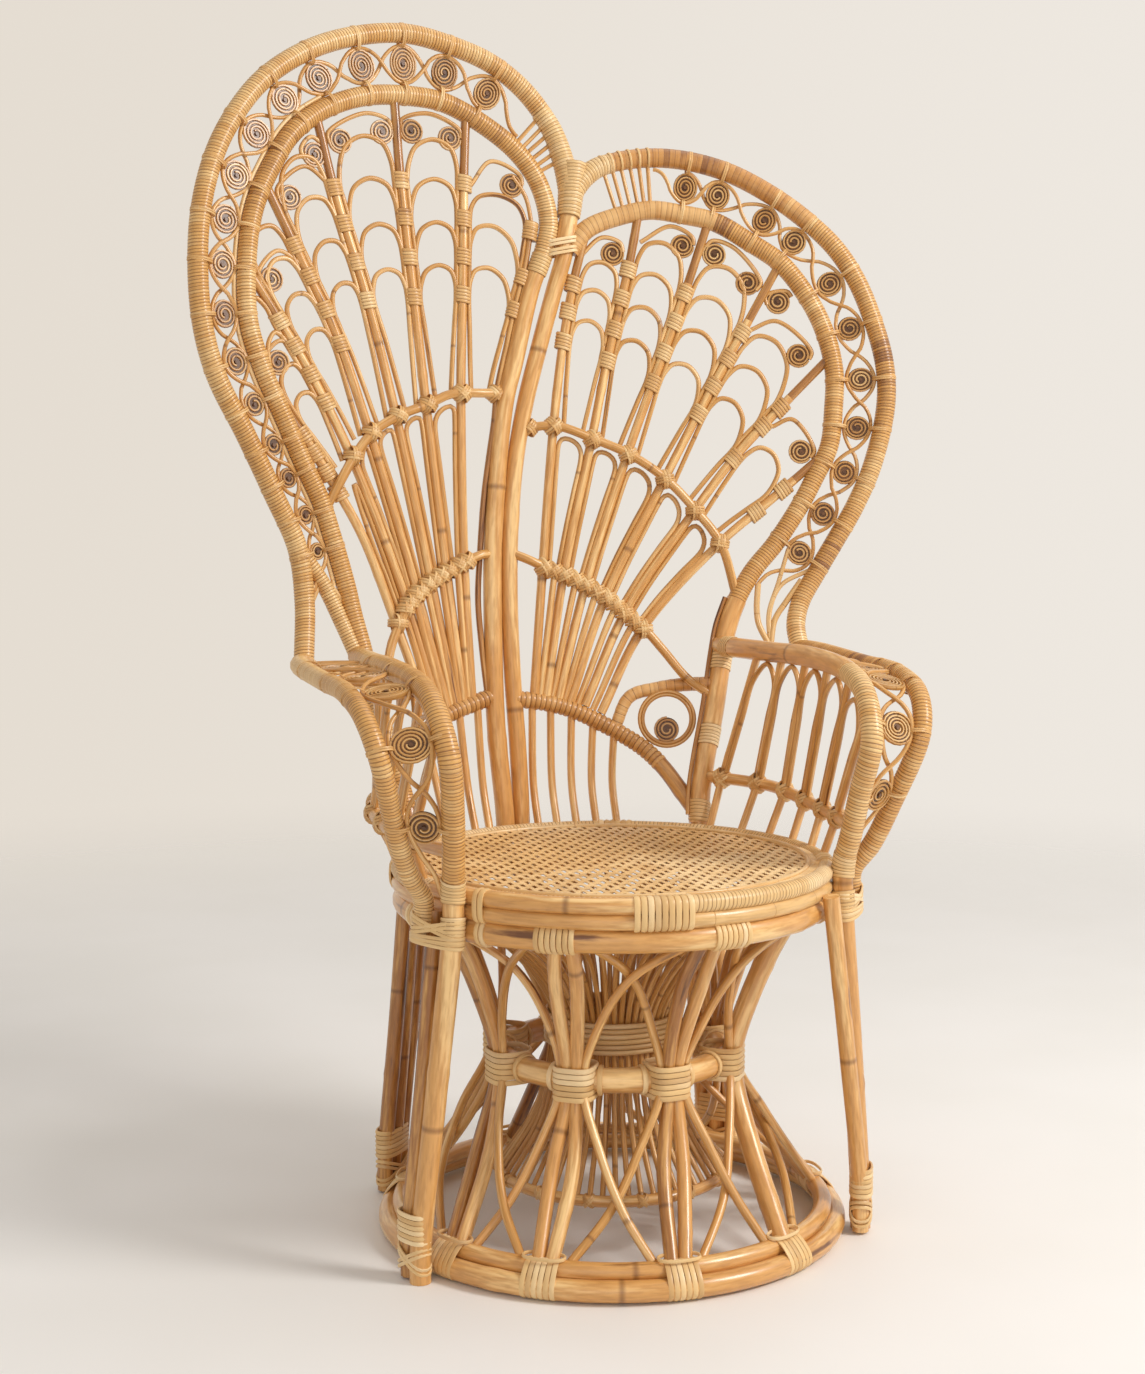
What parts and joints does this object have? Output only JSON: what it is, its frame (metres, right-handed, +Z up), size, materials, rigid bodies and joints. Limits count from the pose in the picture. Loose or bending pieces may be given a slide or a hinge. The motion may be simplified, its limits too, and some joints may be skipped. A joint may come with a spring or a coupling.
{
  "type": "rattan peacock chair",
  "caption": "Rattan armchair with a tall fan-shaped back of two unequal lobes, scrollwork borders, a round caned seat and a waisted base of bent poles.",
  "frame": {"origin": "on the floor, under the middle of the chair's bounding box", "axes": "+Z up, -Y the way a sitter looks, +X to the right for someone who faces the chair"},
  "size_m": [0.9232, 0.6596, 1.4558],
  "materials": {
    "rattan_honey": "satin varnished rattan",
    "cane_pale": "satin varnished cane",
    "rattan_dark": "satin varnished rattan"
  },
  "bodies": {
    "root": {"seat_hoop_upper": "rattan_honey", "seat_hoop_lower": "rattan_honey", "apron_hoop": "rattan_honey", "ground_hoop": "rattan_honey", "ground_hoop_inner": "rattan_honey", "waist_hoop": "rattan_honey", "centre_post": "rattan_honey", "inner_hoop_left": "rattan_honey", "inner_hoop_right": "rattan_honey", "left_arm_rail_and_leg": "rattan_honey", "right_arm_rail_and_leg": "rattan_honey", "inner_cone": "rattan_honey", "seat_scroll": "rattan_honey", "left_arm_spindles": "rattan_honey", "right_arm_spindles": "rattan_honey", "seat_web": "cane_pale", "outer_hoop_left": "cane_pale", "outer_hoop_right": "cane_pale", "left_arm_outer_rail": "cane_pale", "right_arm_outer_rail": "cane_pale", "left_fork_brace": "cane_pale", "crown_lashing": "cane_pale", "inner_cone_band": "cane_pale", "left_band_lower": "cane_pale", "right_band_lower": "cane_pale", "left_band_upper": "cane_pale", "right_band_upper": "cane_pale", "left_band_middle": "cane_pale", "right_band_middle": "cane_pale", "left_arm_scrollwork": "cane_pale", "right_arm_scrollwork": "cane_pale", "left_border_scrollwork": "cane_pale", "right_border_scrollwork": "cane_pale", "left_front_leg_poles": "rattan_dark", "right_front_leg_poles": "rattan_dark", "left_back_leg_poles": "rattan_dark", "right_back_leg_poles": "rattan_dark", "base_strut_1": "rattan_honey", "base_strut_2": "rattan_dark", "base_strut_3": "rattan_honey", "base_strut_4": "rattan_dark", "base_strut_5": "rattan_honey", "base_strut_6": "rattan_dark", "base_strut_7": "rattan_honey", "base_strut_8": "rattan_dark", "left_spoke_1": "rattan_dark", "left_spoke_2": "rattan_honey", "left_spoke_3": "rattan_dark", "left_spoke_4": "rattan_honey", "left_spoke_5": "rattan_dark", "left_spoke_6": "rattan_honey", "right_spoke_1": "rattan_dark", "right_spoke_2": "rattan_honey", "right_spoke_3": "rattan_dark", "right_spoke_4": "rattan_honey", "right_spoke_5": "rattan_dark", "right_spoke_6": "rattan_honey"}
  },
  "joints": []
}
